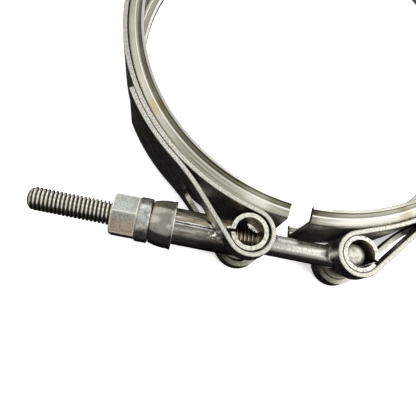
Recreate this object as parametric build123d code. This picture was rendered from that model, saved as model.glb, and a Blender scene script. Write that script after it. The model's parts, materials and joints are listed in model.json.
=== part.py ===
"""V band clamp: a flat steel band round two V section retainers, drawn shut by a T bolt.

Millimetres. The ring's axis is Z and its centre is the origin. The latch is at -Y, the bolt lies
along X with its tip towards -X, and the clamp lies flat on its side.
"""
import os
from math import acos, atan2, cos, degrees, radians, sin, sqrt, tan

from build123d import *

# Ring: what the two flanges and the pipe meet
bore_radius = 51.0  # inner edge of the retainers' lips
retainer_height = 4.3  # from the lips out to the crown, where the band lies
retainer_margin = 0.9  # each lip stands out past the band's edge
retainer_sheet = 1.2
flank_angle = 21.0  # each flank against a plane across the pipe
crest_depth = 2.1  # from the lip's inner edge out to the flank's crest
groove_depth = 0.45  # dip between the crest and the lip
groove_foot = 0.35  # where the dip is deepest, of the way from lip to crest
lip_thickness = 0.75
lip_lift = 0.54  # how far the lip's inner corner lies under the flank's line
crown_round = 0.9
crest_round = 0.35
inner_round = 0.5
lip_round = 0.2
left_end_angle = 264.6  # where the left retainer stops at the latch
right_end_angle = 270.6  # where the right one starts
back_gap_angle = 6.4  # between the retainers, opposite the latch

# Band: one strip, folded back into a loop at each end
band_width = 20.0
band_sheet = 1.25
band_edge_round = 0.3
spring_gap = 0.16  # parting of the two halves behind, where the strip springs open
lap_gap = 0.1  # between the band and its returned end, outside the welds
lap_end_angle = 211.0  # squared end of the returned strip
lap_bend_angle = 231.9  # where the returned strip begins to leave the band for the loop
lap_bend_radius = 60.0  # of the easy bend there, to the strip's middle
slot_margin = 0.4  # between the slot's sides and the sleeve
slot_start = 6.4  # the slot begins this far back inside that bend
slot_top_round = 4.4
slot_end_angle = 52.0  # where the slot stops on the loop's far side
slot_corner = 1.6
weld_radius = 1.8
weld_angles = (215.0, 222.5, 230.0)
weld_offset = 4.6  # each pair of welds from the band's middle

# Latch: pivots, tubes and sleeve
pivot_x = 13.9  # each pivot from the middle
pivot_margin = 0.12  # between the band and the wider loop
trunnion_inset = 0.2  # each end of a tube lies inside the band's edge
left_tube_radius = 4.58
left_tube_wall = 1.05
left_loop_slack = 0.35  # the left loop is wider than its tube and hangs off centre
left_loop_drift = 0.28
head_radius = 2.95  # the bolt's cross bar
head_room = 0.55  # round it in the right tube
right_tube_wall = 0.95
right_loop_slack = 0.15
left_seam_angle = 187.0
left_seam = 0.8
left_tab = 0.95  # edge of the sheet that stands out of the left tube
left_tab_sheet = 0.5
right_seam_angle = -21.0
right_seam = 1.15
sleeve_room = 0.5  # between the bolt and the sleeve
sleeve_wall = 1.2
sleeve_reach = 22.8  # from the left pivot to the sleeve's end
sleeve_seam = 0.35
seam_mouth = 0.95  # the sleeve's seam where it opens beside the tube
seam_reach = 4.6  # from the left pivot to the seam's mouth
seam_flare = 3.2  # length of the opening
tongue_round = 1.0

# Cup pressed over the sleeve's end
cup_floor = 0.9
cup_length = 5.8
cup_fit = 0.03  # between the cup's seat and the sleeve
cup_seat = 1.5  # how far along the cup grips the sleeve
cup_nose = 0.6  # these five lie outside the sleeve's own radius
cup_bulge = 1.15
cup_waist = 1.35
cup_rim = 1.65
cup_mouth = 0.85
cup_bulge_reach = 2.0  # from the floor's outside to the bulge
cup_lip = 0.8  # flared end, from the waist to the rim
cup_rim_round = 0.2

# Bolt and nut
thread_radius = 3.0
thread_clearance = 0.05
bolt_clearance = 0.3  # round the bolt where sheet lets it through
tip_reach = 31.8  # thread beyond the sleeve's end
tip_round = 1.1
thread_margin = 3.9  # from the left pivot to the end of the thread
shank_relief = 0.15  # the plain shank under the thread's crest
neck_relief = 0.25  # the neck under the shank
neck_reach = 5.3  # from the neck to the right pivot
neck_length = 0.6
head_seat = 0.08  # between the cross bar and the tube, where it bears
head_inset = 2.2  # each end of the cross bar lies inside the tube's end
head_round = 1.6
nut_gap = 0.2  # between the nut's collar and the cup
nut_flats = 10.0
nut_lean = 4.0  # a corner of the hexagon stands this far from +Z, towards -Y
hex_length = 6.35
hex_chamfer = 0.95  # off each corner, at the chamfer's angle
chamfer_angle = 30.0
collar_margin = 0.7  # the collar's radius beyond half the flats
collar_length = 3.5
collar_bevel = 0.45
collar_round = 0.5

# Places that follow from the sizes above
crown_radius = bore_radius + retainer_height
retainer_half_width = band_width / 2 + retainer_margin
band_outer_radius = crown_radius + band_sheet
lap_inner_radius = band_outer_radius + lap_gap
sleeve_radius = thread_radius + sleeve_room + sleeve_wall
slot_width = 2 * (sleeve_radius + slot_margin)
right_tube_radius = head_radius + head_room + right_tube_wall
wider_loop = max(left_tube_radius + left_loop_slack, right_tube_radius + right_loop_slack)
pivot_distance = band_outer_radius + wider_loop + pivot_margin
pivot_y = -sqrt(pivot_distance**2 - pivot_x**2)
bolt_line = Location((0, pivot_y, 0), (0, 90, 0))  # local Z runs along the bolt, towards +X
trunnion_length = band_width - 2 * trunnion_inset
shank_radius = thread_radius - shank_relief
neck_radius = shank_radius - neck_relief
collar_radius = nut_flats / 2 + collar_margin
sleeve_end_x = -pivot_x - sleeve_reach
tip_x = sleeve_end_x - tip_reach
cup_end_x = sleeve_end_x - cup_floor
collar_end_x = cup_end_x - nut_gap
hex_end_x = collar_end_x - collar_length


def unit(angle):
    """Direction in the ring's plane at an angle from +X."""
    return Vector(cos(radians(angle)), sin(radians(angle)))


def angle_of(vector):
    return degrees(atan2(vector.Y, vector.X))


def sector(centre, inner, outer, start, end):
    """Flat piece of a strip that follows an arc."""
    size = end - start
    return make_face(
        CenterArc(centre, inner, start, size)
        + Line(centre + inner * unit(end), centre + outer * unit(end))
        + CenterArc(centre, outer, start, size)
        + Line(centre + outer * unit(start), centre + inner * unit(start))
    )


def straight(start, end, sheet):
    """Flat piece of a strip that runs straight between two points of its middle line."""
    along = (end - start).normalized()
    side = Vector(-along.Y, along.X) * (sheet / 2)
    return make_face(Polyline(start + side, end + side, end - side, start - side, close=True))


def along_bolt(profile):
    """Turn a profile, drawn as (radius, x), round the bolt's axis."""
    drawn = make_face(Polyline(*profile, close=True)) if isinstance(profile, list) else profile
    upright = Plane.XZ * drawn
    return bolt_line * revolve(upright, Axis.Z)


def retainer_profile():
    """Half of the V section on the (radius, z) plane, mirrored about the ring's middle plane."""
    slope = tan(radians(flank_angle))
    crest = bore_radius + crest_depth
    lip = bore_radius + lip_thickness
    lip_top = retainer_half_width
    crest_top = lip_top - groove_depth
    crown_top = crest_top - (crown_radius - crest) * slope
    inner_crown = crown_radius - retainer_sheet
    inner_rise = retainer_sheet / cos(radians(flank_angle))
    inner_lip = crest_top + crest_depth * slope - inner_rise - lip_lift
    inner_foot = inner_lip - (inner_crown - bore_radius) * slope
    points = [
        (inner_crown, 0),
        (crown_radius, 0),
        (crown_radius, crown_top),
        (crest, crest_top),
        (lip + (crest - lip) * groove_foot, crest_top - groove_depth),
        (lip, lip_top),
        (bore_radius, lip_top),
        (bore_radius, inner_lip),
        (inner_crown, inner_foot),
    ]
    half = make_face(Polyline(*points, close=True))
    rounds = [
        (crown_radius, crown_top, crown_round),
        (crest, crest_top, crest_round),
        (inner_crown, inner_foot, inner_round),
        (bore_radius, lip_top, lip_round),
    ]
    for radius, z, size in rounds:
        corner = half.vertices().sort_by_distance(Vector(radius, z))[0]
        half = fillet(corner, size)
    return half + mirror(half, Plane.XZ)


def retainer(start, end):
    """V section turned about the ring's axis, from one polar angle to another."""
    upright = Rot(0, 0, start) * (Plane.XZ * retainer_profile())
    return revolve(upright, Axis.Z, revolution_arc=end - start)


def loop_geometry(tube_radius, slack, drift):
    """Where the strip leaves the ring, rounds the tube and comes back, on the left side."""
    centre = Vector(-pivot_x + drift, pivot_y)
    inner = tube_radius + slack
    middle = inner + band_sheet / 2
    ring_middle = crown_radius + band_sheet / 2
    swing = degrees(acos((ring_middle + middle) / centre.length))
    leave = angle_of(centre) % 360 - swing
    bend_centre = (lap_inner_radius + band_sheet / 2 + lap_bend_radius) * unit(lap_bend_angle)
    reach = bend_centre - centre
    turn_end = angle_of(reach) + degrees(acos((lap_bend_radius + middle) / reach.length))
    return centre, inner, middle, leave, bend_centre, turn_end


def band_half(tube_radius, slack, drift=0):
    """Left half of the band, from the spring gap behind to the squared end of the lap."""
    centre, inner, middle, leave, bend_centre, turn_end = loop_geometry(
        tube_radius, slack, drift
    )
    ring_middle = crown_radius + band_sheet / 2
    back = 90 + degrees(spring_gap / 2 / ring_middle)
    hoop = sector(Vector(0, 0), crown_radius, band_outer_radius, back, leave)

    loop_start = leave - 180
    over = straight(ring_middle * unit(leave), centre + middle * unit(loop_start), band_sheet)
    loop = sector(centre, inner, inner + band_sheet, turn_end - 360, loop_start)
    strand_start = centre + middle * unit(turn_end)
    strand_end = bend_centre - lap_bend_radius * unit(turn_end)
    strand = straight(strand_start, strand_end, band_sheet)
    bend = sector(
        bend_centre,
        lap_bend_radius - band_sheet / 2,
        lap_bend_radius + band_sheet / 2,
        turn_end - 180,
        lap_bend_angle - 180,
    )
    lap_outer = lap_inner_radius + band_sheet
    lap = sector(Vector(0, 0), lap_inner_radius, lap_outer, lap_end_angle, lap_bend_angle)
    folded = over + loop + strand + bend + lap

    back_along = (strand_start - strand_end).normalized()
    inward = Vector(-back_along.Y, back_along.X)
    slot_top = strand_end - slot_start * back_along
    spread = 3 * inner
    slot = make_face(
        Polyline(
            centre,
            centre + spread * unit(slot_end_angle),
            centre + spread * unit(slot_end_angle - 90),
            centre + spread * unit(turn_end),
            slot_top - spread * inward,
            slot_top + spread / 4 * inward,
            close=True,
        )
    )
    folded = extrude(folded, band_width / 2, both=True) - extrude(slot, slot_width / 2, both=True)
    corners = [
        edge
        for edge in folded.edges().filter_by(GeomType.LINE)
        if abs(abs(edge.center().Z) - slot_width / 2) < 0.01
        and abs(edge.length - band_sheet) < 0.02
        and abs(edge.tangent_at(0).Z) < 0.01
    ]
    top = [edge for edge in corners if (edge.center() - slot_top).length < slot_width]
    folded = fillet(top, slot_top_round)
    foot = [
        edge
        for edge in folded.edges().filter_by(GeomType.LINE)
        if any((edge.center() - corner.center()).length < 0.01 for corner in corners)
    ]
    folded = fillet(foot, slot_corner)

    half = extrude(hoop, band_width / 2, both=True) + folded
    rims = [
        edge
        for edge in half.edges()
        if abs(abs(edge.center().Z) - band_width / 2) < 0.01 and edge.length > 2 * band_sheet
    ]
    half = fillet(rims, band_edge_round)
    for angle in weld_angles:
        for side in (-1, 1):
            middle_of_weld = (band_outer_radius + lap_gap / 2) * unit(angle)
            nugget = Cylinder(weld_radius, lap_gap + band_sheet / 2, rotation=(0, 90, 0))
            half += Pos(middle_of_weld.X, middle_of_weld.Y, side * weld_offset) * (
                Rot(0, 0, angle) * nugget
            )
    return half


def sleeve_slit():
    """Seam along the sleeve's top, which opens beside the tube round a tongue of the sheet."""
    mouth_x = -pivot_x - seam_reach
    flare_x = mouth_x - seam_flare
    far_side = pivot_y + sleeve_seam / 2
    near_side = pivot_y - sleeve_seam / 2
    outline = Polyline(
        (sleeve_end_x, far_side),
        (mouth_x, far_side),
        (mouth_x, pivot_y - seam_mouth - tongue_round),
        (mouth_x - tongue_round, pivot_y - seam_mouth),
        (flare_x, near_side),
        (sleeve_end_x, near_side),
        close=True,
    )
    slit = make_face(outline)
    tongue = slit.vertices().sort_by_distance(Vector(mouth_x - tongue_round, pivot_y - seam_mouth))
    return extrude(fillet(tongue[0], tongue_round), sleeve_radius + 1)


def left_trunnion():
    """One rolled sheet: an open tube in the left loop and a seamed sleeve round the bolt."""
    centre = Pos(-pivot_x, pivot_y, 0)
    tube = centre * Cylinder(left_tube_radius, trunnion_length)
    tube_bore = centre * Cylinder(left_tube_radius - left_tube_wall, trunnion_length + 1)
    sleeve_middle = Pos(-pivot_x - sleeve_reach / 2, pivot_y, 0)
    sleeve = sleeve_middle * Cylinder(sleeve_radius, sleeve_reach, rotation=(0, 90, 0))
    bolt_hole = sleeve_middle * Cylinder(
        sleeve_radius - sleeve_wall, 3 * sleeve_reach, rotation=(0, 90, 0)
    )
    at_seam = centre * Rot(0, 0, left_seam_angle)
    tab_depth = left_tube_radius + left_tab
    tab = at_seam * Pos(tab_depth / 2, -(left_seam + left_tab_sheet) / 2, 0) * Box(
        tab_depth, left_tab_sheet, trunnion_length
    )
    seam = at_seam * Pos(left_tube_radius, 0, 0) * Box(
        2 * left_tube_radius, left_seam, trunnion_length + 1
    )
    seam -= sleeve
    shank_hole = Pos(0, pivot_y, 0) * Cylinder(
        thread_radius + bolt_clearance, 2 * pivot_x, rotation=(0, 90, 0)
    )
    body = tube + sleeve + tab - tube_bore - bolt_hole - seam
    return body - sleeve_slit() - shank_hole


def sleeve_cup():
    """Drawn cup over the sleeve's end; the nut's collar bears on its floor."""
    hole = sleeve_radius - sleeve_wall
    nose_radius = sleeve_radius + cup_nose
    rim_radius = sleeve_radius + cup_rim
    rim_x = cup_end_x + cup_length
    inner_floor = cup_end_x + cup_floor
    seat = sleeve_radius + cup_fit
    nose = (nose_radius, cup_end_x)
    waist = (sleeve_radius + cup_waist, rim_x - cup_lip)
    bulge = (sleeve_radius + cup_bulge, cup_end_x + cup_bulge_reach)
    section = make_face(
        ThreePointArc(nose, bulge, waist)
        + Polyline(
            waist,
            (rim_radius, rim_x),
            (sleeve_radius + cup_mouth, rim_x),
            (seat, inner_floor + cup_seat),
            (seat, inner_floor),
            (hole, inner_floor),
            (hole, cup_end_x),
            nose,
        )
    )
    rim = section.vertices().sort_by_distance(Vector(rim_radius, rim_x))[:1]
    section = fillet(rim, cup_rim_round)
    return along_bolt(section)


def collar_nut():
    """Hexagon nut with a round collar on the side that turns against the cup."""
    nut_start = hex_end_x - hex_length
    corner_radius = nut_flats / 2 / cos(radians(30))
    chamfer_run = hex_chamfer * tan(radians(chamfer_angle))
    hexagon = RegularPolygon(nut_flats / 2, 6, major_radius=False, rotation=nut_lean)
    blank = Location((nut_start, pivot_y, 0), (0, 90, 0)) * extrude(hexagon, hex_length)
    beyond = 2 * corner_radius
    spread = (beyond - corner_radius + hex_chamfer) * tan(radians(chamfer_angle))
    chamfered = along_bolt(
        [
            (0, nut_start),
            (corner_radius - hex_chamfer, nut_start),
            (corner_radius, nut_start + chamfer_run),
            (beyond, nut_start + spread),
            (beyond, hex_end_x),
            (0, hex_end_x),
        ]
    )
    collar_section = make_face(
        Polyline(
            (0, hex_end_x),
            (collar_radius - collar_bevel, hex_end_x),
            (collar_radius, hex_end_x + collar_bevel),
            (collar_radius, collar_end_x),
            (0, collar_end_x),
            close=True,
        )
    )
    bearing = collar_section.vertices().sort_by_distance(Vector(collar_radius, collar_end_x))[0]
    collar = along_bolt(fillet(bearing, collar_round))
    hole = Pos((nut_start + collar_end_x) / 2, pivot_y, 0) * Cylinder(
        thread_radius + thread_clearance, hex_length + collar_length + 1, rotation=(0, 90, 0)
    )
    return (blank & chamfered) + collar - hole


def t_bolt():
    """Threaded rod with a rounded tip, a plain shank and a cross bar for a head."""
    thread_end_x = -pivot_x + thread_margin
    neck_x = pivot_x - neck_reach
    bar_x = pivot_x - (right_tube_radius - right_tube_wall - head_radius - head_seat)
    section = make_face(
        Polyline(
            (0, tip_x),
            (thread_radius, tip_x),
            (thread_radius, thread_end_x),
            (shank_radius, thread_end_x + (thread_radius - shank_radius)),
            (shank_radius, neck_x - neck_length / 2),
            (neck_radius, neck_x),
            (shank_radius, neck_x + neck_length / 2),
            (shank_radius, bar_x),
            (0, bar_x),
            close=True,
        )
    )
    tip = section.vertices().sort_by_distance(Vector(thread_radius, tip_x))[0]
    rod = along_bolt(fillet(tip, tip_round))
    bar = Cylinder(head_radius, trunnion_length - 2 * head_inset)
    bar = fillet(bar.edges().filter_by(GeomType.CIRCLE), head_round)
    return rod + Pos(bar_x, pivot_y, 0) * bar


def right_trunnion():
    """Rolled tube round the bolt's cross bar, open along a seam."""
    centre = Pos(pivot_x, pivot_y, 0)
    tube = centre * Cylinder(right_tube_radius, trunnion_length)
    bore = centre * Cylinder(right_tube_radius - right_tube_wall, trunnion_length + 1)
    seam = centre * Rot(0, 0, right_seam_angle) * Pos(right_tube_radius, 0, 0) * Box(
        2 * right_tube_radius, right_seam, trunnion_length + 1
    )
    shank_hole = Pos(0, pivot_y, 0) * Cylinder(
        shank_radius + bolt_clearance, 2 * pivot_x, rotation=(0, 90, 0)
    )
    return tube - bore - seam - shank_hole


nodes = {
    "band_left": band_half(left_tube_radius, left_loop_slack, left_loop_drift),
    "band_right": mirror(band_half(right_tube_radius, right_loop_slack), Plane.YZ),
    "retainer_left": retainer(90 + back_gap_angle / 2, left_end_angle),
    "retainer_right": retainer(right_end_angle, 450 - back_gap_angle / 2),
    "left_trunnion": left_trunnion(),
    "sleeve_cup": sleeve_cup(),
    "collar_nut": collar_nut(),
    "t_bolt": t_bolt(),
    "right_trunnion": right_trunnion(),
}

os.makedirs("parts", exist_ok=True)
for name, shape in nodes.items():
    export_step(shape, f"parts/{name}.step")
    print(name, round(shape.volume, 2), len(shape.solids()))
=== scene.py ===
import json
from math import cos, pi, radians, sin

import bmesh
import bpy
from mathutils import Matrix, Vector


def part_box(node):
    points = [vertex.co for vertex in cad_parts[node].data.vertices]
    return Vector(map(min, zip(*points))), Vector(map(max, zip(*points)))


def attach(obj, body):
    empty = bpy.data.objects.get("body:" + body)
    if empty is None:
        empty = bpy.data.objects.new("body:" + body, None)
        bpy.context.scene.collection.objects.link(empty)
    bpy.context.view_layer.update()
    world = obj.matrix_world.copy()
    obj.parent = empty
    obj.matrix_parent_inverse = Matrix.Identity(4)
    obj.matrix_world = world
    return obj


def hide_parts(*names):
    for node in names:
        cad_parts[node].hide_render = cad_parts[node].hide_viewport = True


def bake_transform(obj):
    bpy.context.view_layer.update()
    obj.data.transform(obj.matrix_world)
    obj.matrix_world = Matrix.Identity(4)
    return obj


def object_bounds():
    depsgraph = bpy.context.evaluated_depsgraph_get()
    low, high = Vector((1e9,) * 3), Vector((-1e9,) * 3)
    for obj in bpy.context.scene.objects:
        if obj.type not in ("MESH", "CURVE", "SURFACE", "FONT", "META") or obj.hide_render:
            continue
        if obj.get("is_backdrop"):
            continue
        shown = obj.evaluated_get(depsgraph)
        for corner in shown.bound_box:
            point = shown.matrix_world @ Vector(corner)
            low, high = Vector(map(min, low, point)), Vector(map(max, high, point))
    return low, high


mm = 0.001

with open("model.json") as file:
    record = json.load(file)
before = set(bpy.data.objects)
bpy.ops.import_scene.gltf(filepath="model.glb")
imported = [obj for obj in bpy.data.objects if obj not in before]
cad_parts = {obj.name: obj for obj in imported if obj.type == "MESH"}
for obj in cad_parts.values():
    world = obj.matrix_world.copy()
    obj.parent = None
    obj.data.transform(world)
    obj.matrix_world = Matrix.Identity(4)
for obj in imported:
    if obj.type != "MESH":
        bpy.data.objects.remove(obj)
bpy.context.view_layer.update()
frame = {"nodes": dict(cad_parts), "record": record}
print("frame loaded:", ", ".join(sorted(frame["nodes"])))

# A socket that takes part in Python expressions: each operator adds its Math node

class Wire:
    def __init__(self, finish, socket):
        self.finish = finish
        self.socket = socket

    def maths(self, operation, first, second):
        return self.finish.node("ShaderNodeMath", {0: first, 1: second}, operation=operation)

    def __add__(self, other):
        return self.maths("ADD", self, other)

    __radd__ = __add__

    def __sub__(self, other):
        return self.maths("SUBTRACT", self, other)

    def __rsub__(self, other):
        return self.maths("SUBTRACT", other, self)

    def __mul__(self, other):
        return self.maths("MULTIPLY", self, other)

    __rmul__ = __mul__

    def __pow__(self, other):
        return self.maths("POWER", self, other)

    def __rpow__(self, other):
        return self.maths("POWER", other, self)

    def size(self):
        return self.finish.node("ShaderNodeMath", {0: self}, operation="ABSOLUTE")

    def clamp(self):
        return self.finish.node("ShaderNodeMath", {0: self, 1: 0}, operation="ADD", use_clamp=True)

    def ease(self, low, high):
        values = {"Value": self, "From Min": low, "From Max": high}
        return self.finish.node("ShaderNodeMapRange", values, interpolation_type="SMOOTHSTEP")

    def climb(self, low, high):  # from 0 at low to 1 at high, both in mm
        return self.ease(low * mm, high * mm)

    def within(self, start, full, fading, gone):  # 1 from full to fading, all in mm
        return self.climb(start, full) * (1 - self.climb(fading, gone))


class Finish:
    def __init__(self, name, owner=None):
        self.material = owner or bpy.data.materials.new(name)
        self.material.use_nodes = True
        self.tree = self.material.node_tree
        self.shader = self.tree.nodes.get("Principled BSDF")

    def node(self, kind, values=None, out=0, **settings):
        made = self.tree.nodes.new(kind)
        for key, value in settings.items():
            setattr(made, key, value)
        self.feed(made, values or {})
        return Wire(self, made.outputs[out])

    def feed(self, target, values):
        for key, value in values.items():
            if isinstance(value, Wire):
                self.tree.links.new(value.socket, target.inputs[key])
            elif isinstance(value, tuple) and target.inputs[key].type == "RGBA":
                target.inputs[key].default_value = (*value, 1)
            else:
                target.inputs[key].default_value = value

    def surface(self, **values):
        self.feed(self.shader, {key.replace("_", " "): value for key, value in values.items()})
        return self.material

    def place(self):
        return self.node("ShaderNodeTexCoord", out="Object")

    def join(self, x, y, z):
        return self.node("ShaderNodeCombineXYZ", {0: x, 1: y, 2: z})

    def split(self, vector):
        made = self.node("ShaderNodeSeparateXYZ", {0: vector}).socket.node
        return [Wire(self, socket) for socket in made.outputs]

    def distance(self, first, second):
        values = {0: first, 1: second}
        return self.node("ShaderNodeVectorMath", values, out="Value", operation="DISTANCE")

    def noise(self, where, scale, detail=3, roughness=0.5):
        values = {"Vector": where, "Scale": scale, "Detail": detail, "Roughness": roughness}
        return self.node("ShaderNodeTexNoise", values)

    def mix(self, factor, first, second, clamp=True):
        values = {0: factor, 6: first, 7: second}  # the Mix node's factor and its two colours
        return self.node("ShaderNodeMix", values, out=2, data_type="RGBA", clamp_factor=clamp)

    def bump(self, height, strength, distance):
        values = {"Height": height, "Strength": strength, "Distance": distance * mm}
        return self.node("ShaderNodeBump", values)


def scaled(colour, share):
    return tuple(part * share for part in colour)


# Camera and light

cameraSetup = {
    "place": (-32.948, -87.122, 114.863),  # mm, fitted to points measured in the photograph
    "right": (0.97736931, 0.17012181, 0.12572907),
    "down": (0.19801639, -0.94485754, -0.26083279),
    "forward": (0.07442271, 0.27982638, -0.95716167),
    "focalPixels": 460.69,
    "framePixels": 416,
    "sensor": 36,
    "nearest": 5,  # mm
}


def addCamera(setup):
    data = bpy.data.cameras.new("camera")
    data.sensor_width = setup["sensor"]
    data.lens = setup["focalPixels"] / setup["framePixels"] * setup["sensor"]
    data.clip_start = setup["nearest"] * mm
    camera = bpy.data.objects.new("camera", data)
    bpy.context.collection.objects.link(camera)
    right, down, forward = (Vector(setup[key]) for key in ("right", "down", "forward"))
    turn = Matrix((right, -down, -forward)).transposed().to_4x4()
    camera.matrix_world = Matrix.Translation(Vector(setup["place"]) * mm) @ turn
    bpy.context.scene.camera = camera


skySetup = {
    # brightness under the part, level with it and overhead, and the heights between which it changes
    "under": 0.012,
    "level": 0.46,
    "high": 0.6,
    "underToLevel": (-0.85, -0.35),
    "levelToHigh": (0.25, 0.8),
    # a bright wall behind the part, and its foot and top
    "backWall": 0.55,
    "wallDepth": (0.15, 0.6),
    "wallFoot": (0.02, 0.2),
    "wallTop": (0.6, 0.8),
    # what is left of the light low in front of the latch
    "frontShade": 0.1,
    "shadeDepth": (0.1, 0.7),
    "shadeTop": (0.26, 0.52),
    "colour": (1.0, 0.992, 0.965),
    "seen": (1.0, 1.0, 0.995),  # the plain background that the camera sees
    # soft boxes: where they stand, how many degrees out they are full and gone, and their gain
    "boxes": [
        ((0.40, 0.20, 0.89), 9, 25, 1.1),
        ((-0.64, 0.08, 0.76), 8, 24, 0.7),
        ((0.68, -0.26, 0.69), 8, 24, 0.7),
        ((0.20, -0.34, 0.92), 7, 18, 0.7),
    ],
}

lights = [
    # name, place mm, aim mm, side mm, watts
    ("keyLight", (-10, 60, 520), (0, -20, 0), 480, 3.6),
    ("sideLight", (260, -160, 300), (10, -50, 0), 200, 1.2),
]
lampColour = (1.0, 0.985, 0.96)


def addSky(setup):
    world = bpy.data.worlds.new("studio")
    bpy.context.scene.world = world
    sky = Finish("sky", world)
    x, y, z = sky.split(sky.node("ShaderNodeTexCoord", out="Generated"))
    glow = setup["under"] + (setup["level"] - setup["under"]) * z.ease(*setup["underToLevel"])
    glow = glow + (setup["high"] - setup["level"]) * z.ease(*setup["levelToHigh"])
    for aim, full, gone, gain in setup["boxes"]:
        values = {0: sky.node("ShaderNodeTexCoord", out="Generated"), 1: Vector(aim).normalized()}
        facing = sky.node("ShaderNodeVectorMath", values, out="Value", operation="DOT_PRODUCT")
        glow = glow + gain * facing.ease(cos(radians(gone)), cos(radians(full)))
    wall = y.ease(*setup["wallDepth"]) * z.ease(*setup["wallFoot"]) * (1 - z.ease(*setup["wallTop"]))
    glow = glow + setup["backWall"] * wall
    front = (0 - y).ease(*setup["shadeDepth"]) * (1 - z.ease(*setup["shadeTop"]))
    glow = glow * (1 - front * (1 - setup["frontShade"]))
    lit = sky.mix(glow, (0.0, 0.0, 0.0), setup["colour"], clamp=False)
    seen = sky.node("ShaderNodeLightPath", out="Is Camera Ray")
    background = sky.tree.nodes["Background"]
    sky.feed(background, {"Color": sky.mix(seen, lit, setup["seen"]), "Strength": 1.0})


def addLights(lamps, colour):
    for name, place, aim, side, watts in lamps:
        data = bpy.data.lights.new(name, "AREA")
        data.size = side * mm
        data.energy = watts
        data.color = colour
        lamp = bpy.data.objects.new(name, data)
        lamp.visible_glossy = False  # the metals mirror the sky alone
        bpy.context.collection.objects.link(lamp)
        towards = (Vector(aim) - Vector(place)) * mm
        turn = towards.to_track_quat("-Z", "Y").to_matrix().to_4x4()
        lamp.matrix_world = Matrix.Translation(Vector(place) * mm) @ turn


addCamera(cameraSetup)
addSky(skySetup)
addLights(lights, lampColour)
bpy.context.scene.view_settings.view_transform = "Standard"
print("camera and lights placed")

# Metal of the ring: streaks run round it, as the rolls left them

ringSetup = {
    # mm and degrees: radii of the retainers' section, where the band's sheared edges begin in
    # height, and the spot welds
    "lip": 51.85,
    "crest": 53.1,
    "crown": 55.3,
    "edge": 9.85,
    "weldRadius": 57.9,
    "weldAngles": (215.0, 222.5, 230.0),
    "weldHeight": 4.6,
    "weldSize": 1.9,
}

retainerSteel = {
    "tone": (0.635, 0.62, 0.525),
    "shade": (0.40, 0.385, 0.31),
    "corner": (0.92, 0.91, 0.85),
    "gleam": (0.94, 0.93, 0.87),
    "polished": (0.95, 0.94, 0.89),
    "cut": (0.17, 0.165, 0.14),
    "ridge": (0.94, 0.93, 0.88),
    "seam": (0.12, 0.115, 0.09),
    "lipBright": (0.84, 0.84, 0.81),
    "lipDull": (0.60, 0.59, 0.54),
    "lipBrown": (0.36, 0.34, 0.27),
    # mm along Y, where the latch's side of the ring begins and where painted shade lies in the
    # corner
    "latchSide": (-48, -30),
    "grimeSide": (-38, -26),
    "backSide": (-20, 0),
    # mm along X near the latch: where each look starts, is full, fades and is gone
    "leftGleam": (-19, -14, -12, -9),
    "handled": (-12, -8, 5, 11),
    "leftCut": (-8, -5, -3, -2),
    "rightCut": (-2, 0, 0.8, 3),
    "rightSide": (2, 8),
    # heat stains: place and reach in mm, colour, strength
    "stains": [
        ((-42.2, -33.2, 10.2), 2.8, (0.50, 0.38, 0.16), 0.55),
        ((24.3, -47.8, 10.2), 2.4, (0.47, 0.36, 0.17), 0.5),
    ],
}


def ringPlaces(finish):
    x, y, z = finish.split(finish.place())
    radius = (x * x + y * y) ** 0.5
    turn = finish.node("ShaderNodeMath", {0: y, 1: x}, operation="ARCTAN2")
    return x, y, z, radius, turn


def stained(finish, colour, stains, broad):
    for place, reach, stain, amount in stains:
        offset = finish.distance(finish.place(), scaled(place, mm))
        near = 1 - (offset + (broad - 0.5) * reach * mm).climb(reach * 0.25, reach)
        colour = finish.mix(near * amount, colour, stain)
    return colour


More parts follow.
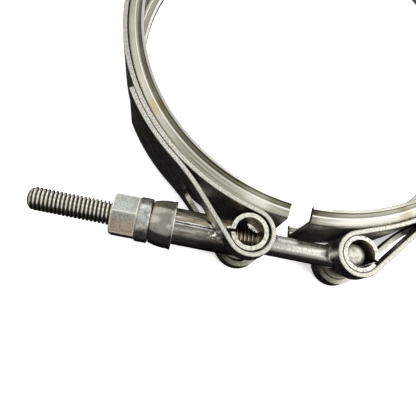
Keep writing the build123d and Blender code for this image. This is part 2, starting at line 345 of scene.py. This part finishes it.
def retainerMetal(ring, look):
    finish = Finish("retainerSteel")
    x, y, z, radius, turn = ringPlaces(finish)
    fine = finish.noise(finish.join(turn * 0.045, radius * 80, z * 80), 34, 4, 0.7)
    wide = finish.noise(finish.join(turn * 0.2, radius * 16, z * 16), 30, 3, 0.6)
    scored = finish.noise(finish.join(turn * 0.03, radius * 46, z * 46), 34, 3, 0.6)
    broad = finish.noise(finish.place(), 70, 4, 0.6)
    speck = finish.noise(finish.place(), 1500, 2)
    tone, shade = look["tone"], look["shade"]

    colour = finish.mix((fine - 0.4) * 5, shade, tone)
    colour = finish.mix((wide - 0.5) * 2.6, colour, scaled(tone, 1.2))
    colour = finish.mix((fine - 0.58) * 5, colour, scaled(shade, 0.5))
    colour = finish.mix((broad - 0.52) * 2.4, colour, scaled(shade, 0.8))
    colour = finish.mix((speck - 0.5) * 2.2, colour, scaled(tone, 0.66))
    colour = finish.mix(y.climb(*look["backSide"]) * 0.3, colour, scaled(shade, 0.7))

    # brighter, scored and handled near the latch, with painted highlights and painted shade at the
    # cut ends
    atLatch = 1 - y.climb(*look["latchSide"])
    colour = finish.mix(atLatch * 0.5, colour, scaled(tone, 1.3))
    colour = finish.mix(atLatch * (scored - 0.48) * 6, colour, scaled(shade, 0.55))
    # painted highlight on the crown's corner, where it would mirror the dark sky low in front
    corner = radius.climb(ring["crown"] - 0.5, ring["crown"] - 0.3)
    colour = finish.mix(atLatch * corner * 0.9, colour, look["corner"])
    # painted highlight: a bright gleam left of the gap
    colour = finish.mix(x.within(*look["leftGleam"]) * 0.7, colour, look["gleam"])
    # painted highlight: the right side near the latch is painted bright as a sheen
    rightSide = x.climb(*look["rightSide"]) * atLatch
    colour = finish.mix(rightSide * (1.0 - fine * 0.7), colour, look["polished"])
    handled = x.within(*look["handled"]) * atLatch
    colour = finish.mix(handled * (fine - 0.42) * 2.8, colour, scaled(shade, 0.6))
    # painted shade on the flank beside each cut end
    cutShade = x.within(*look["rightCut"]) * 0.75 + x.within(*look["leftCut"]) * 0.25
    colour = finish.mix(cutShade * atLatch, colour, look["cut"])
    colour = stained(finish, colour, look["stains"], broad)

    # painted shade in the corner under the band, then painted shade in the dip, a painted highlight
    # on the ridge, a dark line at the lip's edge, and the lip, worn and partly painted bright
    crevice = radius.climb(ring["crown"] - 0.6, ring["crown"] - 0.1) * y.climb(*look["grimeSide"])
    colour = finish.mix(crevice * 0.92, colour, scaled(shade, 0.12))
    # painted shade in the dip between the lip and the crest
    dip = radius.within(ring["lip"] - 0.3, ring["lip"], ring["crest"] - 0.3, ring["crest"])
    colour = finish.mix(dip * (fine - 0.2) * 1.1, colour, scaled(shade, 0.5))
    # painted highlight along the crest's ridge
    crest = ring["crest"]
    ridge = radius.within(crest, crest + 0.12, crest + 0.2, crest + 0.36)
    colour = finish.mix(ridge * (0.6 + fine * 0.8), colour, look["ridge"])
    seam = 1 - (radius - ring["lip"] * mm).size().climb(0.06, 0.16)
    colour = finish.mix(seam * 0.75, colour, look["seam"])
    # the lip: worn streaks, partly a painted highlight that makes it bright
    lip = 1 - radius.climb(ring["lip"] - 0.3, ring["lip"])
    wearAndHighlight = finish.mix((fine - 0.5) * 4, look["lipBright"], look["lipDull"])
    wearAndHighlight = finish.mix(rightSide * (wide - 0.2) * 2.5, wearAndHighlight, look["lipBrown"])
    colour = finish.mix(lip * 0.9, colour, wearAndHighlight)

    roughness = 0.3 + (fine - 0.5) * 0.3 + (broad - 0.5) * 0.16 - lip * 0.06
    return finish.surface(
        Base_Color=colour,
        Metallic=1.0,
        Roughness=roughness.clamp(),
        Normal=finish.bump(fine * 0.9 + wide * 0.3 + speck * 0.3, 0.5, 0.025),
    )


bandSteel = {
    "tone": (0.66, 0.645, 0.585),
    "shade": (0.50, 0.485, 0.43),
    "weldTint": (0.34, 0.26, 0.17),
    # how bright the sheared edges are: along the lap, on the loops and round the back
    "lapEdge": 1.48,
    "loopEdge": 1.04,
    "backEdge": 1.15,
    "loops": (-56, -44),  # mm along Y
    "back": (-32, -14),
    "rightLoop": (4, 9),  # mm along X
}


def bandMetal(ring, look):
    finish = Finish("bandSteel")
    x, y, z, radius, turn = ringPlaces(finish)
    fine = finish.noise(finish.join(turn * 0.13, radius * 75, z * 75), 36, 4, 0.65)
    broad = finish.noise(finish.place(), 80, 4, 0.6)
    grain = finish.noise(finish.place(), 2700, 3, 0.75)
    tone, shade = look["tone"], look["shade"]
    colour = finish.mix((fine - 0.34) * 1.7, shade, tone)
    colour = finish.mix((broad - 0.5) * 2.0, colour, scaled(shade, 0.86))

    # sheared edges
    height = z.size()
    edge = height.climb(ring["edge"], ring["edge"] + 0.1)
    onLoops = (1 - y.climb(*look["loops"])) * (1 - x.climb(*look["rightLoop"]) * 0.2)
    bright = finish.mix(onLoops, scaled(tone, look["lapEdge"]), scaled(tone, look["loopEdge"]))
    bright = finish.mix(y.climb(*look["back"]), bright, scaled(tone, look["backEdge"]))
    colour = finish.mix(edge, colour, bright)
    colour = finish.mix(edge * ((grain - 0.5) * 7 + 0.3), colour, scaled(tone, 0.6))

    # spot welds: a dimple in a tinted halo, the same on both sides and above and below
    folded = finish.join(x.size(), y, height)
    dimple = 0
    for angle in ring["weldAngles"]:
        along = -ring["weldRadius"] * cos(radians(angle))
        spot = (along * mm, ring["weldRadius"] * sin(radians(angle)) * mm, ring["weldHeight"] * mm)
        offset = finish.distance(folded, spot)
        size = ring["weldSize"]
        dimple = 1 - offset.climb(size * 0.55, size) + dimple
        halo = (1 - offset.climb(size * 0.9, size * 1.9)) * offset.climb(size * 0.5, size)
        colour = finish.mix(halo * 0.55, colour, look["weldTint"])

    roughness = 0.26 + (fine - 0.5) * 0.26 + (broad - 0.5) * 0.14 + edge * (grain - 0.2) * 0.3
    relief = fine * 0.55 + grain * (0.2 + edge * 1.2) - dimple * 9
    return finish.surface(
        Base_Color=colour,
        Metallic=1.0,
        Roughness=roughness.clamp(),
        Normal=finish.bump(relief, 0.32, 0.025),
    )


# Metal of the latch: turned, drawn and rolled pieces along the bolt

nutLow, nutHigh = (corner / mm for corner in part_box("collar_nut"))
cupLow, cupHigh = (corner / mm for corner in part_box("sleeve_cup"))
latchSetup = {
    # mm
    "axisY": (nutLow.y + nutHigh.y) / 2,
    "nutX": nutLow.x,
    "collarX": nutHigh.x - 3.5,  # where the hexagon meets the collar
    "cornerRadius": 5.5,  # where the hexagon's corners begin to wear
    "cupX": cupLow.x,
    "rimX": cupHigh.x,
    "legX": -27.0,  # where the loop's leg starts to shade the sleeve
    "seamX": -20.5,  # where the sleeve's seam widens
    "threadX": -10.0,  # end of the thread
    "neckX": 8.6,
    "headX": 10.6,  # where the forged cross bar begins
    "rootRadius": 2.46,
    "rootFade": 2.66,  # radius at which the dark of the thread's roots ends
    "faceZ": 9.7,  # where the tubes' ends begin
}

nutZinc = {
    "upper": (0.62, 0.66, 0.63),
    "lower": (0.72, 0.585, 0.45),
    "shade": (0.40, 0.375, 0.33),
    "collarBright": (0.88, 0.90, 0.875),
    "collarDark": (0.30, 0.305, 0.30),
    "wearAndHighlight": (1.0, 0.985, 0.89),
}


def nutMetal(latch, look):
    finish = Finish("nutZinc")
    x, y, z = finish.split(finish.place())
    across = y - latch["axisY"] * mm
    broad = finish.noise(finish.place(), 230, 4, 0.65)
    mottle = finish.noise(finish.place(), 820, 3, 0.6)
    speck = finish.noise(finish.place(), 2400, 3, 0.7)
    low = (across * 0.6 + z * 0.8).climb(4.5, 1)
    colour = finish.mix(low * (0.6 + broad * 0.6), look["upper"], look["lower"])
    colour = finish.mix((broad - 0.47) * 3, colour, look["shade"])
    colour = finish.mix((speck - 0.48) * 4, colour, scaled(look["shade"], 0.5))

    beyond = x - latch["collarX"] * mm
    collar = beyond.climb(0, 0.08)
    patch = finish.mix((mottle - 0.42) * 5, look["collarBright"], look["collarDark"])
    colour = finish.mix(collar * 0.6, colour, patch)

    radius = (across * across + z * z) ** 0.5
    corner = radius.climb(latch["cornerRadius"], latch["cornerRadius"] + 0.18) * (1 - collar)
    # painted highlights along the collar's edge and the nut's end, with wear on the hexagon's
    # corners
    wearAndHighlight = 2 - beyond.size().climb(0.05, 0.4) - (x - latch["nutX"] * mm).size().climb(0.3, 0.6)
    wearAndHighlight = wearAndHighlight + corner * (speck - 0.1) * 1.6
    colour = finish.mix(wearAndHighlight * (0.6 + broad * 0.5), colour, look["wearAndHighlight"])

    roughness = 0.31 + (broad - 0.5) * 0.3 + (speck - 0.5) * 0.2 - collar * 0.06
    return finish.surface(
        Base_Color=colour,
        Metallic=1.0,
        Roughness=roughness.clamp(),
        Normal=finish.bump(speck * 0.7 + mottle * collar * 1.8, 0.6, 0.03),
    )


cupSteel = {
    "tone": (0.47, 0.455, 0.405),
    "shade": (0.19, 0.178, 0.15),
    "heat": (0.44, 0.33, 0.19),
    "rim": (0.95, 0.94, 0.90),
}


def cupMetal(latch, look):
    finish = Finish("cupSteel")
    x, y, z = finish.split(finish.place())
    around = finish.noise(finish.join(x * 30, y * 4, z * 4), 60, 3, 0.6)
    broad = finish.noise(finish.place(), 260, 4, 0.6)
    speck = finish.noise(finish.place(), 1900, 2, 0.6)
    colour = finish.mix((broad - 0.45) * 3.2, look["tone"], look["shade"])
    colour = finish.mix((around - 0.55) * 2.5, colour, scaled(look["shade"], 0.6))
    colour = finish.mix((speck - 0.6) * 2, colour, scaled(look["shade"], 0.4))
    nose = 1 - (x - latch["cupX"] * mm).climb(0.15, 0.6)
    colour = finish.mix(nose * 0.7, colour, look["heat"])
    # painted highlight: a bright line along the cup's rim
    rim = (x - latch["rimX"] * mm).climb(-0.45, -0.15)
    colour = finish.mix(rim * 0.9, colour, look["rim"])
    roughness = 0.16 + (broad - 0.5) * 0.2 + (around - 0.5) * 0.12
    return finish.surface(
        Base_Color=colour,
        Metallic=1.0,
        Roughness=roughness.clamp(),
        Normal=finish.bump(broad * 1.2 + around * 0.3 + speck * 0.3, 0.35, 0.03),
    )


trunnionSteel = {
    "tone": (0.36, 0.345, 0.31),
    "shade": (0.22, 0.205, 0.175),
    "rust": (0.62, 0.53, 0.40),
    "scratch": (0.90, 0.88, 0.82),
    "burr": (0.92, 0.91, 0.88),
    "seamRimHighlight": (0.95, 0.94, 0.90),
    "crease": (0.12, 0.095, 0.07),
    "legShade": (0.09, 0.072, 0.052),
    "gritBright": (0.86, 0.81, 0.68),
    "scuffBright": (0.97, 0.95, 0.89),
    "scuffDark": (0.08, 0.07, 0.05),
    "leftFace": (0.80, 0.785, 0.70),
    "rightFace": (0.97, 0.955, 0.89),
    "faceGrain": (0.42, 0.41, 0.36),
    # mm: where the burr in the left tube lies along X and Z, and the scuffs by the leg along X
    "burrX": (-13.6, -13.1, -9.5, -9),
    "burrZ": (2.7, 2.9, 3.38, 3.45),
    "scuffX": (-24.5, -22.5, -19.5, -18.5),
}


def trunnionMetal(latch, look):
    finish = Finish("trunnionSteel")
    x, y, z = finish.split(finish.place())
    across = y - latch["axisY"] * mm
    aside = across.size()
    fine = finish.noise(finish.join(x * 5, y * 76, z * 76), 40, 4, 0.7)
    drag = finish.noise(finish.join(x * 2.2, y * 60, z * 60), 46, 3, 0.6)
    grit = finish.noise(finish.join(x * 12, y * 45, z * 45), 46, 4, 0.75)
    broad = finish.noise(finish.place(), 170, 4, 0.6)
    grain = finish.noise(finish.place(), 2100, 3, 0.7)
    torn = finish.noise(finish.place(), 900, 4, 0.7)
    rust = look["rust"]

    # rusty above the seam, scratched along the sleeve
    colour = finish.mix((broad - 0.44) * 3, look["tone"], look["shade"])
    upper = across.climb(-0.7, 0.9) * z.climb(0, 2)
    colour = finish.mix(upper * (0.5 + fine * 0.7), colour, rust)
    colour = finish.mix((fine - 0.54) * 8, colour, scaled(rust, 0.22))
    scratch = drag.ease(0.51, 0.57) * (0.3 + upper * 0.7)
    colour = finish.mix(scratch, colour, look["scratch"])
    # painted glint: the burr and the bore wall beside it are painted near white
    burr = x.within(*look["burrX"]) * z.within(*look["burrZ"])
    colour = finish.mix(burr, colour, look["burr"])

    # painted highlights on the seam's rims, a dark band along a crease beside them, and the painted
    # shade of the loop's leg
    sleeve = 1 - x.climb(latch["seamX"], latch["seamX"] + 0.6)
    rim = aside.within(0.16, 0.2, 0.3, 0.5)
    colour = finish.mix(rim * sleeve * z.climb(0, 1), colour, look["seamRimHighlight"])
    crease = aside.within(0.5, 0.6, 0.75, 1.1)
    colour = finish.mix(crease * sleeve * (broad - 0.3) * 1.6, colour, look["crease"])
    besideLeg = x.climb(latch["legX"], latch["legX"] + 5) * (1 - upper)
    colour = finish.mix(besideLeg * 0.85, colour, look["legShade"])

    # grit all over, and torn metal where the leg rubs
    colour = finish.mix((grit - 0.54) * (2 + upper * 6), colour, look["gritBright"])
    colour = finish.mix((0.46 - grit) * 8, colour, scaled(rust, 0.25))
    scuff = x.within(*look["scuffX"]) * (1 - aside.climb(1.6, 3)) * sleeve
    colour = finish.mix(scuff * (torn - 0.5) * 9, colour, look["scuffBright"])
    colour = finish.mix(scuff * (0.48 - torn) * 9, colour, look["scuffDark"])

    # the tubes' end faces
    edge = z.size().climb(latch["faceZ"], latch["faceZ"] + 0.1)
    face = finish.mix(x.climb(-5, 5), look["leftFace"], look["rightFace"])
    colour = finish.mix(edge, colour, face)
    colour = finish.mix(edge * ((grain - 0.5) * 7 + 0.2), colour, look["faceGrain"])

    roughness = 0.24 + (fine - 0.5) * 0.24 + (broad - 0.5) * 0.14 + edge * 0.16
    relief = fine * 0.6 + grain * (0.2 + edge * 1.2) + scratch * 0.6 + scuff * torn * 2
    return finish.surface(
        Base_Color=colour,
        Metallic=1.0,
        Roughness=roughness.clamp(),
        Normal=finish.bump(relief, 0.55, 0.024),
    )


boltSteel = {
    "tone": (0.99, 0.97, 0.90),
    "shade": (0.84, 0.81, 0.72),
    "grime": (0.11, 0.097, 0.072),
    "tubeBrown": (0.30, 0.245, 0.17),
    "neck": (1.0, 0.985, 0.94),
    "forgedBright": (0.90, 0.88, 0.81),
    "forgedDark": (0.40, 0.36, 0.29),
    "inTube": (-21, -19),  # mm along X, where the thread turns brown inside the sleeve
}


def boltMetal(latch, look):
    finish = Finish("boltSteel")
    x, y, z = finish.split(finish.place())
    across = y - latch["axisY"] * mm
    radius = (across * across + z * z) ** 0.5
    fine = finish.noise(finish.join(x * 30, y * 8, z * 8), 60, 3)
    broad = finish.noise(finish.place(), 150, 4, 0.6)
    mottle = finish.noise(finish.place(), 700, 4, 0.65)
    speck = finish.noise(finish.place(), 1500, 2, 0.6)
    grain = finish.noise(finish.place(), 2300, 3, 0.7)
    tone, shade, grime = look["tone"], look["shade"], look["grime"]

    # thread: painted shade below and in its roots, brown inside the sleeve
    colour = finish.mix((broad - 0.5) * 2.2, tone, shade)
    colour = finish.mix(across.climb(-1.3, -2.7) * 0.55, colour, grime)
    root = 1 - radius.climb(latch["rootRadius"], latch["rootFade"])
    colour = finish.mix(root, colour, scaled(grime, 0.6))
    colour = finish.mix((speck - 0.56) * 0.8, colour, scaled(shade, 0.4))
    # the thread is darker and brown beyond this point along X
    colour = finish.mix(x.climb(*look["inTube"]) * 0.75, colour, look["tubeBrown"])

    # satin shank, with a painted highlight on its upper side towards its neck
    plain = x.climb(latch["threadX"] - 0.5, latch["threadX"] + 0.5)
    satin = finish.mix((grain - 0.4) * 3, scaled(tone, 0.76), scaled(tone, 0.47))
    # painted shade on the shank's lower side
    satin = finish.mix(across.climb(-0.8, -2.2) * 0.7, satin, grime)
    nearNeck = x.climb(latch["neckX"] - 5, latch["neckX"])
    satin = finish.mix(nearNeck * across.climb(-1.9, -0.2), satin, look["neck"])
    colour = finish.mix(plain, colour, satin)

    # forged cross bar
    forged = x.climb(latch["headX"], latch["headX"] + 0.4)
    skin = finish.mix((mottle - 0.47) * 5, look["forgedBright"], look["forgedDark"])
    colour = finish.mix(forged, colour, skin)

    roughness = 0.17 + (broad - 0.5) * 0.2 + (fine - 0.5) * 0.15 + root * 0.2 + forged * 0.28
    roughness = roughness + plain * (0.07 + (grain - 0.5) * 0.3)
    relief = speck * 0.4 + fine * 0.4 + forged * mottle * 1.5 + plain * grain
    return finish.surface(
        Base_Color=colour,
        Metallic=1.0,
        Roughness=roughness.clamp(),
        Normal=finish.bump(relief, 0.3, 0.02),
    )


finishes = {
    "band": bandMetal(ringSetup, bandSteel),
    "retainer": retainerMetal(ringSetup, retainerSteel),
    "trunnion": trunnionMetal(latchSetup, trunnionSteel),
    "cup": cupMetal(latchSetup, cupSteel),
    "nut": nutMetal(latchSetup, nutZinc),
    "bolt": boltMetal(latchSetup, boltSteel),
}

for row in frame["record"]["subparts"]:
    shown = frame["nodes"][row["node"]]
    shown.data.materials.clear()
    shown.data.materials.append(finishes[row["material_slot"]])
print("metals assigned")


samePoint = 1e-7  # m, points closer together than this are one


def meshPiece(name, vertices, faces, slot, sharpAngle):
    mesh = bpy.data.meshes.new(name)
    mesh.from_pydata([Vector(v) * mm for v in vertices], [], faces)
    piece = bpy.data.objects.new(name, mesh)
    bpy.context.collection.objects.link(piece)
    clean = bmesh.new()
    clean.from_mesh(mesh)
    bmesh.ops.remove_doubles(clean, verts=clean.verts, dist=samePoint)
    bmesh.ops.recalc_face_normals(clean, faces=clean.faces)
    clean.to_mesh(mesh)
    clean.free()
    mesh.shade_smooth()
    mesh.set_sharp_from_angle(angle=radians(sharpAngle))
    mesh.materials.append(finishes[slot])
    return piece


def ringedSkin(rings, steps):
    # faces of a closed skin made of rings of points, with a cap at each end
    faces = [tuple(range(steps)), tuple(range((rings - 1) * steps, rings * steps))]
    for ring in range(rings - 1):
        for step in range(steps):
            a = ring * steps + step
            b = ring * steps + (step + 1) % steps
            faces.append((a, b, b + steps, a + steps))
    return faces


# Threaded bolt in place of the plain one

boltLow, boltHigh = (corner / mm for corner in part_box("t_bolt"))
boltPiece = {
    # mm and degrees
    "axisY": latchSetup["axisY"],
    "tip": boltLow.x,
    "rodSharp": 38,  # faces that meet at more than this stay sharp
    "headSharp": 40,
    "threadEnd": latchSetup["threadX"],
    "major": 2.99,
    "minor": 2.46,
    "pitch": 1.0,
    "crest": 0.28,  # of half a pitch, the flat of the crest and then the slope
    "slope": 0.46,
    "runOut": 1.2,
    "tipLength": 1.7,
    "tipTaper": 0.4,
    "tipCurve": 2.2,
    "shank": 2.85,
    "neckX": latchSetup["neckX"],
    "neckRings": [(-0.5, 0), (-0.3, 0), (-0.04, 0.25), (0.04, 0.25), (0.3, 0), (0.5, 0)],
    "barX": boltHigh.x - 2.95,
    "headRadius": 2.95,
    "headLength": boltHigh.z - boltLow.z,
    "headRound": 1.6,
    "roundSteps": 8,
    "perTurn": 14,  # rings of points in each turn of the thread
    "steps": 60,  # points in each ring
}


def threadRadius(spec, x, turn):
    along = x - spec["tip"]
    phase = (along / spec["pitch"] - turn) % 1.0
    fold = abs(phase - 0.5) * 2  # 0 at the crest, 1 at the root
    depth = min(max((fold - spec["crest"]) / spec["slope"], 0), 1)
    depth = depth * depth * (3 - 2 * depth)
    radius = spec["major"] - (spec["major"] - spec["minor"]) * depth
    left = min(max((spec["threadEnd"] - x) / spec["runOut"], 0), 1)
    radius = spec["shank"] + (radius - spec["shank"]) * left
    if along < spec["tipLength"]:
        fall = (1 - along / spec["tipLength"]) ** spec["tipCurve"] * spec["tipTaper"]
        radius = min(radius, spec["major"] * (1 - fall))
    return radius


def buildRod(spec):
    steps = spec["steps"]
    rings = []
    for i in range(int((spec["threadEnd"] - spec["tip"]) / spec["pitch"] * spec["perTurn"]) + 1):
        x = spec["tip"] + i * spec["pitch"] / spec["perTurn"]
        rings.append((x, [threadRadius(spec, x, step / steps) for step in range(steps)]))
    for offset, depth in spec["neckRings"]:
        rings.append((spec["neckX"] + offset, [spec["shank"] - depth] * steps))
    rings.append((spec["barX"], [spec["shank"]] * steps))
    vertices = []
    for x, radii in rings:
        for step, radius in enumerate(radii):
            angle = step / steps * 2 * pi
            vertices.append((x, spec["axisY"] + radius * cos(angle), radius * sin(angle)))
    return vertices, ringedSkin(len(rings), steps)


def buildHead(spec):
    half = spec["headLength"] / 2
    bend = spec["headRound"]
    profile = []
    for i in range(spec["roundSteps"] + 1):
        angle = pi / 2 * i / spec["roundSteps"]
        rise = bend * sin(angle)
        profile.append((spec["headRadius"] - bend + rise, half - bend + bend * cos(angle)))
    profile += [(radius, -z) for radius, z in reversed(profile)]
    vertices = []
    for radius, z in profile:
        for step in range(spec["steps"]):
            angle = step / spec["steps"] * 2 * pi
            x = spec["barX"] + radius * cos(angle)
            vertices.append((x, spec["axisY"] + radius * sin(angle), z))
    return vertices, ringedSkin(len(profile), spec["steps"])


rod = meshPiece("threadedRod", *buildRod(boltPiece), "bolt", boltPiece["rodSharp"])
head = meshPiece("boltHead", *buildHead(boltPiece), "bolt", boltPiece["headSharp"])
for piece in (rod, head):
    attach(piece, "bolt")
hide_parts("t_bolt")
print("bolt threaded")

# Ragged burr inside the left tube, where the hole for the bolt broke through

burrPiece = {
    # mm and degrees
    "sharp": 20,
    "tubeX": -13.9,
    "axisY": latchSetup["axisY"],
    "wall": 3.56,
    "height": 3.3,
    "thickness": 0.07,
    # place round the tube, how far it stands in, how far it hangs down
    "teeth": [
        (86, 0.12, 0.0), (82, 0.55, 0.2), (78, 0.4, 0.1), (73, 1.0, 0.38), (68, 0.7, 0.2),
        (63, 0.95, 0.36), (59, 0.5, 0.14), (54, 0.9, 0.3), (49, 0.6, 0.22), (44, 0.75, 0.25),
        (39, 0.35, 0.1), (34, 0.5, 0.16), (29, 0.12, 0.0),
    ],
}


def buildBurr(spec):
    outer = spec["wall"]
    high = spec["height"]
    thickness = spec["thickness"]
    vertices = []
    for degrees, width, hang in spec["teeth"]:
        inner = outer - width
        low = high - hang
        section = ((outer, high), (inner, low), (inner, low + thickness), (outer, high + thickness))
        for reach, z in section:
            x = spec["tubeX"] + reach * cos(radians(degrees))
            vertices.append((x, spec["axisY"] + reach * sin(radians(degrees)), z))
    return vertices, ringedSkin(len(spec["teeth"]), len(section))


burr = meshPiece("cutBurr", *buildBurr(burrPiece), "trunnion", burrPiece["sharp"])
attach(burr, "left_latch")
print("burr laid")

# Springy back of the band, which joins its two halves

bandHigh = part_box("band_left")[1] / mm
springPiece = {
    # mm and degrees
    "sharp": 30,
    "reach": 2.4,  # to each side of the parting
    "give": 0.9,  # the stretch on each side over which it passes from one half to the other
    "outer": bandHigh.y,
    "sheet": 1.25,
    "halfWidth": bandHigh.z,
    "corner": 0.3,
    "sink": 0.02,  # how far it lies under the band's own faces
    "stations": 17,
}


def buildSpring(spec):
    low = spec["outer"] - spec["sheet"] + spec["sink"]
    high = spec["outer"] - spec["sink"]
    side = spec["halfWidth"] - spec["sink"]
    corner = spec["corner"]
    outline = [
        (low, side - corner), (low + corner, side), (high - corner, side), (high, side - corner),
        (high, corner - side), (high - corner, -side), (low + corner, -side), (low, corner - side),
    ]
    vertices = []
    for station in range(spec["stations"]):
        x = (-1 + 2 * station / (spec["stations"] - 1)) * spec["reach"]
        for radius, z in outline:
            vertices.append((x, (radius * radius - x * x) ** 0.5, z))
    return vertices, ringedSkin(spec["stations"], len(outline))


spring = meshPiece("springStrip", *buildSpring(springPiece), "band", springPiece["sharp"])
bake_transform(spring)
print("spring strip laid")

# Floor

floorSetup = {
    "side": 3000,  # mm
    "drop": 0.05,
    "pale": (0.82, 0.82, 0.815),
    "paler": (0.85, 0.85, 0.845),
    "glow": 0.42,
    "glowColour": (1.0, 1.0, 0.995),
}


def addFloor(setup):
    finish = Finish("paleFloor")
    cloud = finish.noise(finish.place(), 3, 2)
    finish.surface(
        Base_Color=finish.mix(cloud, setup["pale"], setup["paler"]),
        Roughness=0.8,
        Emission_Color=setup["glowColour"],
        Emission_Strength=setup["glow"],
    )
    half = setup["side"] / 2 * mm
    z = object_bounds()[0][2] - setup["drop"] * mm
    mesh = bpy.data.meshes.new("floor")
    corners = [(-half, -half, z), (half, -half, z), (half, half, z), (-half, half, z)]
    mesh.from_pydata(corners, [], [(0, 1, 2, 3)])
    mesh.materials.append(finish.material)
    floor = bpy.data.objects.new("floor", mesh)
    bpy.context.collection.objects.link(floor)
    floor.visible_glossy = False
    floor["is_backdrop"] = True


addFloor(floorSetup)
print("floor laid")
